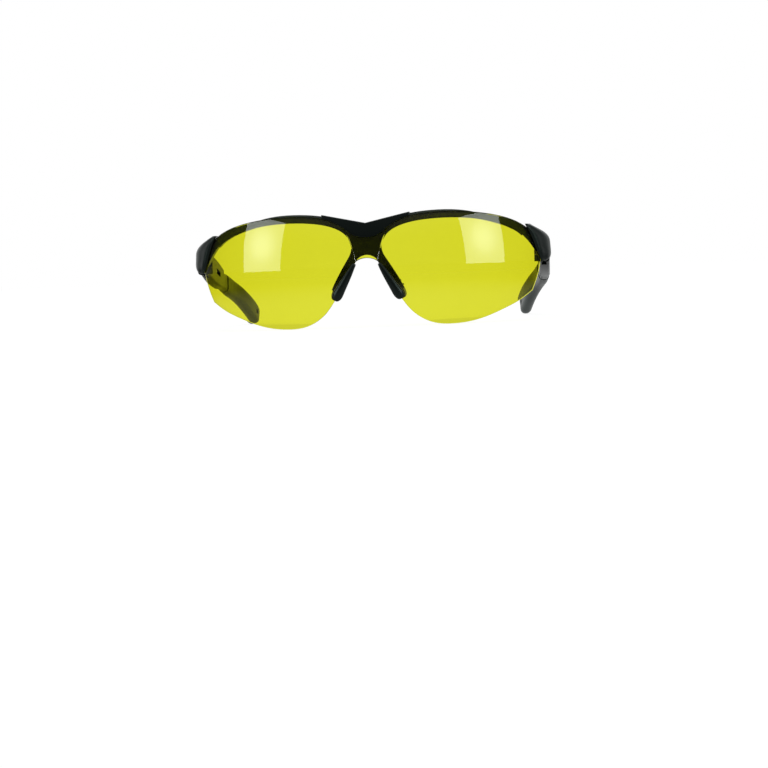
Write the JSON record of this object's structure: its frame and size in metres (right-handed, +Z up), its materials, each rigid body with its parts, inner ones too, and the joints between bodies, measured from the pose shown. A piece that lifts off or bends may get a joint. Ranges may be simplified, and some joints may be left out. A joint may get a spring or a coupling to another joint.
{
  "type": "safety glasses",
  "caption": "Wraparound safety glasses with a yellow shield lens in a black half frame and temples that fold, tilt and extend.",
  "frame": {"origin": "centre of the bounding box in plan, at the table that the open glasses stand on", "axes": "+X to the wearer's left, +Y from the lens back along the temples, +Z up"},
  "size_m": [0.1572, 0.164, 0.049],
  "materials": {
    "lens_tint": "clear gloss, hard coated",
    "frame_nylon": "satin moulded",
    "soft_black": "soft matt",
    "screw_steel": "machined"
  },
  "bodies": {
    "front": {"lens": "lens_tint", "brow_frame": "frame_nylon", "bridge_cover": "frame_nylon", "nose_pad_left": "soft_black", "nose_pad_right": "soft_black", "end_cap_left": "soft_black", "end_cap_right": "soft_black", "hinge_screw_left": "screw_steel", "hinge_screw_right": "screw_steel"},
    "hinge_left": {"hinge_block_left": "frame_nylon"},
    "sleeve_left": {"temple_sleeve_left": "frame_nylon", "tilt_screw_left": "screw_steel"},
    "arm_left": {"temple_arm_left": "frame_nylon", "length_stud_left": "screw_steel", "temple_tip_left": "soft_black"},
    "hinge_right": {"hinge_block_right": "frame_nylon"},
    "sleeve_right": {"temple_sleeve_right": "frame_nylon", "tilt_screw_right": "screw_steel"},
    "arm_right": {"temple_arm_right": "frame_nylon", "length_stud_right": "screw_steel", "temple_tip_right": "soft_black"}
  },
  "joints": [
    {"name": "fold_left", "type": "hinge", "parent": "front", "child": "hinge_left", "pos_m": [0.0724, -0.0334, 0.0297], "axis": [0, 0, 1], "range_deg": [0, 94]},
    {"name": "fold_right", "type": "hinge", "parent": "front", "child": "hinge_right", "pos_m": [-0.0724, -0.0334, 0.0297], "axis": [0, 0, -1], "range_deg": [0, 82]},
    {"name": "tilt_left", "type": "hinge", "parent": "hinge_left", "child": "sleeve_left", "pos_m": [0.0754, -0.0239, 0.0297], "axis": [1, 0, 0], "range_deg": [-7.5, 15]},
    {"name": "tilt_right", "type": "hinge", "parent": "hinge_right", "child": "sleeve_right", "pos_m": [-0.0754, -0.0239, 0.0297], "axis": [1, 0, 0], "range_deg": [-7.5, 15]},
    {"name": "length_left", "type": "slide", "parent": "sleeve_left", "child": "arm_left", "axis": [0, 0.9877, -0.1564], "range_m": [0, 0.01]},
    {"name": "length_right", "type": "slide", "parent": "sleeve_right", "child": "arm_right", "axis": [0, 0.9877, -0.1564], "range_m": [0, 0.01]}
  ]
}
